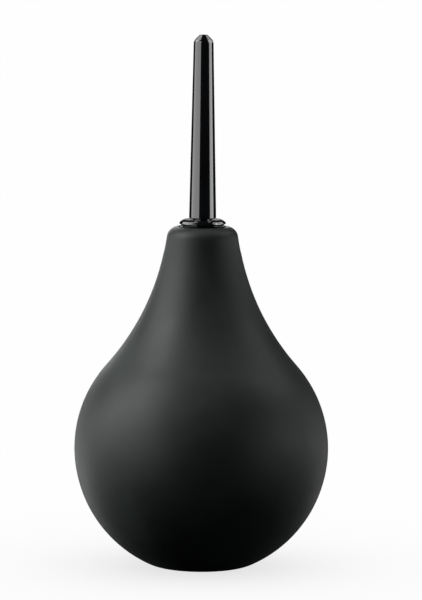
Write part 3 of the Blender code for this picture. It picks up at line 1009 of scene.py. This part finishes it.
@dataclass
class InletValve:
    """The one-way valve in the base: a body with ports, a loose disc, and a cage over it."""

    sink: float = 0.4  # of the flange above the ground
    dish_width: float = 0.35  # of the flange's sloped inner edge
    dish_depth: float = 0.6
    dish_bottom_rounding: float = 0.2
    outer_rounding: float = 0.3  # of the corners that show from below
    flange_radius: float = 7.0
    flange_top: float = 1.4
    barrel_radius: float = 5.0
    barrel_bore: float = 4.3
    barrel_top: float = 7.0
    seat_bottom: float = 2.4
    seat_top: float = 3.4
    snap_middle: float = 6.2
    snap: float = 0.5
    disc_radius: float = 3.9
    disc_bottom: float = 3.7
    disc_thickness: float = 0.8
    stop_radius: float = 1.5
    stop_face: float = 5.8
    plate_bottom: float = 7.3
    plate_top: float = 8.2
    skirt_bottom: float = 4.8
    skirt_radius: float = 6.7
    skirt_bore: float = 5.3
    cap_rounding: float = 0.7
    port_circle: float = 2.7
    port_radius: float = 0.75
    ports: int = 6
    port_chamfer: float = 0.2
    port_facets: int = 40
    drill_over: float = 0.6  # how far a port's drill passes the faces that it leaves
    edge: float = 0.15

    def pierce(self, piece: Object, low: float, high: float, first: float) -> None:
        """Cut the ring of ports, each with a countersunk mouth at both ends.

        Args:
            piece: The piece to cut.
            low: Height of the face that the ports leave downwards.
            high: Height of the face that the ports leave upwards.
            first: The first port's angle, in radians.
        """
        wide = self.port_radius + self.port_chamfer + self.drill_over
        drill = trace(
            [
                Corner(0, high + self.drill_over),
                Corner(wide, high + self.drill_over),
                Corner(self.port_radius, high - self.port_chamfer),
                Corner(self.port_radius, low + self.port_chamfer),
                Corner(wide, low - self.drill_over),
                Corner(0, low - self.drill_over),
            ],
        )
        shape = bmesh.new()
        for angle in even_angles(self.ports):
            one = turned("drill", drill, angles=even_angles(self.port_facets))
            spin = Matrix.Rotation(first + angle, 4, "Z")
            one.data.transform(spin @ Matrix.Translation((self.port_circle * MM, 0, 0)))
            shape.from_mesh(one.data)
            bpy.data.objects.remove(one)
        drills = to_object(shape, "drills")
        cut = piece.modifiers.new("ports", "BOOLEAN")
        cut.operation = "DIFFERENCE"
        cut.object = drills
        bpy.context.view_layer.update()
        graph = bpy.context.evaluated_depsgraph_get()
        piece.data = bpy.data.meshes.new_from_object(piece.evaluated_get(graph))
        piece.modifiers.clear()
        bpy.data.objects.remove(drills)
        shape = bmesh.new()
        shape.from_mesh(piece.data)
        bmesh.ops.remove_doubles(shape, verts=shape.verts, dist=SAME_POINT * MM)
        bmesh.ops.dissolve_degenerate(shape, edges=shape.edges, dist=SAME_POINT * MM)
        shape.to_mesh(piece.data)
        shape.free()

    def build_body(self) -> None:
        """Build the body: a dished flange flush in the base, a barrel, and a seat with ports."""
        outline = trace(
            [
                Corner(0, self.seat_top),
                Corner(self.barrel_bore, self.seat_top, self.edge / 2),
                Corner(self.barrel_bore, self.barrel_top, self.edge),
                Corner(self.barrel_radius, self.barrel_top, self.edge),
                Corner(self.barrel_radius, self.snap_middle + self.snap),
                Corner(self.barrel_radius + self.snap, self.snap_middle, self.edge),
                Corner(self.barrel_radius, self.snap_middle - self.snap / 2),
                Corner(self.barrel_radius, self.flange_top, self.edge),
                Corner(self.flange_radius, self.flange_top, self.edge),
                Corner(self.flange_radius, self.sink, self.outer_rounding),
                Corner(self.barrel_bore + self.dish_width, self.sink, self.outer_rounding),
                Corner(self.barrel_bore, self.sink + self.dish_depth, self.dish_bottom_rounding),
                Corner(self.barrel_bore, self.seat_bottom, self.outer_rounding),
                Corner(0, self.seat_bottom),
            ],
        )
        piece = turned("valve_body", outline)
        self.pierce(piece, self.seat_bottom, self.seat_top, 0.0)
        install(piece, NYLON, Body.BASE, "inlet_valve_body")

    def build_disc(self) -> None:
        """Build the loose disc, with a soft edge."""
        top = self.disc_bottom + self.disc_thickness
        outline = trace(
            [
                Corner(0, top),
                Corner(self.disc_radius, top, self.edge),
                Corner(self.disc_radius, self.disc_bottom, self.edge),
                Corner(0, self.disc_bottom),
            ],
        )
        piece = turned("valve_disc", outline)
        install(piece, NITRILE, Body.VALVE_DISC, "inlet_valve_disc")

    def build_cage(self) -> None:
        """Build the cage: a cap with ports, a snap groove inside and a stop for the disc."""
        groove = self.skirt_bore + self.snap
        outline = trace(
            [
                Corner(0, self.plate_top),
                Corner(self.skirt_radius, self.plate_top, self.cap_rounding),
                Corner(self.skirt_radius, self.skirt_bottom, self.edge),
                Corner(self.skirt_bore, self.skirt_bottom, self.edge),
                Corner(self.skirt_bore, self.snap_middle - self.snap),
                Corner(groove, self.snap_middle - self.snap / 2, self.edge),
                Corner(groove, self.snap_middle + self.snap / 2, self.edge),
                Corner(self.skirt_bore, self.plate_bottom, self.edge),
                Corner(self.stop_radius, self.plate_bottom, self.edge),
                Corner(self.stop_radius, self.stop_face, self.edge),
                Corner(0, self.stop_face),
            ],
        )
        piece = turned("valve_cage", outline)
        self.pierce(piece, self.plate_bottom, self.plate_top, math.pi / self.ports)
        install(piece, NYLON, Body.BASE, "inlet_valve_cage")


# --- the studio


@dataclass(frozen=True)
class Softbox:
    """A large soft light, placed by where it stands round the blower."""

    name: str
    start: float  # degrees from the camera's side, positive to the blower's left
    end: float
    low: float  # metres from the floor to its lower edge
    high: float
    glow: float  # brightness of its face, where white paper in full light is 1
    swing: float = 0.0  # degrees that it is swung up overhead, about the floor's middle
    away: float = 1.0  # metres from the blower's axis

    def build(self, pieces: Sequence[Object], state: str) -> None:
        """Set the light in place, facing the blower.

        Args:
            pieces: The objects that its flags are set for.
            state: INCLUDE to light only these objects, or EXCLUDE to light all the others.
        """
        data = bpy.data.lights.new(self.name, "AREA")
        data.shape = "RECTANGLE"
        data.size = 2 * self.away * math.tan(math.radians(self.end - self.start) / 2)
        data.size_y = self.high - self.low
        data.energy = self.glow * math.pi * data.size * data.size_y
        light = bpy.data.objects.new(self.name, data)
        bpy.context.scene.collection.objects.link(light)
        turn = math.radians((self.start + self.end) / 2)
        place = Matrix.Rotation(-turn, 4, "Z") @ Matrix.Rotation(math.radians(-self.swing), 4, "X")
        place @= Matrix.Translation((0, -self.away, (self.low + self.high) / 2))
        light.matrix_world = place @ Matrix.Rotation(math.pi / 2, 4, "X")
        light.visible_camera = False
        flagged = bpy.data.collections.new(self.name + "_flags")
        for i, obj in enumerate(pieces):
            flagged.objects.link(obj)
            flagged.collection_objects[i].light_linking.link_state = state
        light.light_linking.receiver_collection = flagged


@dataclass
class Studio:
    """A pale floor under plain soft light, and the camera."""

    floor_tone: str = "#FEFEFE"
    backdrop_tone: str = "#FEFEFE"
    floor_own_glow: float = 0.78  # share of the floor's light that no shadow takes away
    floor_drop: float = 0.05  # mm below the base, so that the two faces don't coincide
    floor_size: float = 16.0  # metres
    wash_spread: float = 120.0  # degrees of sky that the floor's light comes from
    distance: float = 1.4  # metres, as are the camera's other lengths
    camera_height: float = 0.235
    aim_height: float = 0.0803
    aim_aside: float = 0.00265
    focal: float = 283.0  # mm, on the sensor below
    sensor_width: float = 36.0
    furthest_seen: float = 50.0
    roll: float = 0.35  # degrees
    # For the matt rubber: a key from the left, a weaker fill from the right, edges from behind.
    boxes: tuple[Softbox, ...] = (
        Softbox("tall_key_panel", 60, 104, 0.35, 1.7, 5.7),
        Softbox("left_strip", 31, 112, 0.03, 0.25, 2.2),
        Softbox("right_strip", -106, -52, 0.03, 0.25, 2.5),
        Softbox("high_back_panel", -120, -96, 0.7, 1.5, 4.0),
        Softbox("back_panel", 154, 188, 0.12, 0.7, 3.6),
        Softbox("left_rim_card", 104, 136, 0.0, 0.25, 1.8),
        Softbox("right_rim_card", -136, -107, 0.0, 0.25, 1.1),
        Softbox("left_ground_card", 112, 160, -0.45, 0.0, 1.5),
        Softbox("right_ground_card", -160, -112, -0.45, 0.0, 0.6),
        Softbox("overhead_panel", -30, 30, -0.5, 0.5, 0.52, swing=88),
    )
    # For the gloss pieces, which mirror each panel as a clear band or patch.
    gloss_boxes: tuple[Softbox, ...] = (
        Softbox("left_gloss_panel", 31, 112, -0.6, 1.3, 4.2),
        Softbox("right_gloss_panel", -106, -67, -0.6, 1.3, 5.5),
        Softbox("left_overhead_panel", 98, 134, -0.45, 0.45, 4.2, swing=50),
        Softbox("right_overhead_panel", -136, -98, -0.45, 0.45, 3.2, swing=40),
        Softbox("low_back_card", 165, 195, 0.15, 0.36, 0.4),
    )

    def build_floor(self) -> Object:
        """Lay the floor: white paper that glows a little, so that shadows on it stay pale.

        Returns:
            The floor.
        """
        bpy.ops.mesh.primitive_plane_add(
            size=self.floor_size, location=(0, 0, -self.floor_drop * MM)
        )
        floor = bpy.context.object
        floor.name = "floor"
        material = bpy.data.materials.new("pale_paper")
        material.use_nodes = True
        shader = material.node_tree.nodes["Principled BSDF"]
        tone = srgb(self.floor_tone)
        lit = 1 - self.floor_own_glow
        shader.inputs["Base Color"].default_value = [level * lit for level in tone[:3]] + [1.0]
        shader.inputs["Emission Color"].default_value = tone
        shader.inputs["Emission Strength"].default_value = self.floor_own_glow
        shader.inputs["Roughness"].default_value = 1.0
        shader.inputs["Specular IOR Level"].default_value = 0.0
        floor.data.materials.append(material)
        floor.visible_glossy = False
        floor.visible_diffuse = False
        floor.visible_shadow = False
        return floor

    def build_light(self, floor: Object, gloss: Sequence[Object]) -> None:
        """Light the floor evenly from above, and the blower with softboxes.

        Args:
            floor: The floor.
            gloss: The polished pieces, which have softboxes of their own to mirror.
        """
        floor_only = bpy.data.collections.new("floor_wash_receivers")
        floor_only.objects.link(floor)
        wash = bpy.data.objects.new("floor_wash", bpy.data.lights.new("floor_wash", "SUN"))
        wash.data.angle = math.radians(self.wash_spread)
        wash.data.energy = math.pi
        wash.light_linking.receiver_collection = floor_only
        bpy.context.scene.collection.objects.link(wash)
        for box in self.boxes:
            box.build([floor, *gloss], "EXCLUDE")
        for box in self.gloss_boxes:
            box.build(gloss, "INCLUDE")
        world = bpy.data.worlds.new("backdrop")
        world.use_nodes = True
        world.node_tree.nodes["Background"].inputs["Color"].default_value = srgb(self.backdrop_tone)
        bpy.context.scene.world = world
        world.cycles_visibility.diffuse = False
        world.cycles_visibility.glossy = False

    def build_camera(self) -> None:
        """Set up a long lens a little above the blower."""
        data = bpy.data.cameras.new("camera")
        data.sensor_width = self.sensor_width
        data.lens = self.focal
        data.clip_end = self.furthest_seen
        camera = bpy.data.objects.new("camera", data)
        bpy.context.scene.collection.objects.link(camera)
        camera.location = (0, -self.distance, self.camera_height)
        aim = Vector((self.aim_aside, 0, self.aim_height)) - camera.location
        look = aim.to_track_quat("-Z", "Y").to_matrix().to_4x4()
        look @= Matrix.Rotation(math.radians(self.roll), 4, "Z")
        camera.rotation_euler = look.to_euler()
        bpy.context.scene.camera = camera

    def build(self, gloss: Sequence[Object]) -> None:
        """Set the whole stage.

        Args:
            gloss: The blower's polished pieces.
        """
        floor = self.build_floor()
        self.build_light(floor, gloss)
        self.build_camera()
        bpy.context.scene.view_settings.view_transform = "Standard"
        LOG.info("studio: %d softboxes", len(self.boxes) + len(self.gloss_boxes))


def main() -> None:
    """Build the blower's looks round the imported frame."""
    logging.basicConfig(level=logging.INFO, format="%(name)s: %(message)s")
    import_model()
    low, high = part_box("bulb")
    lip = high.z / MM
    belly_radius = high.x / MM

    Bulb(lip=lip, belly_radius=belly_radius).build()
    neck = NeckFittings(lip=lip)
    neck.build_bush()
    neck.build_washer()
    nozzle = NozzleSet(lip=lip)
    gloss = [nozzle.build_collar(), nozzle.build_tube()]
    nozzle.build_ring()
    valve = InletValve()
    valve.build_body()
    valve.build_disc()
    valve.build_cage()
    Studio().build(gloss)


if __name__ == "__main__":
    main()
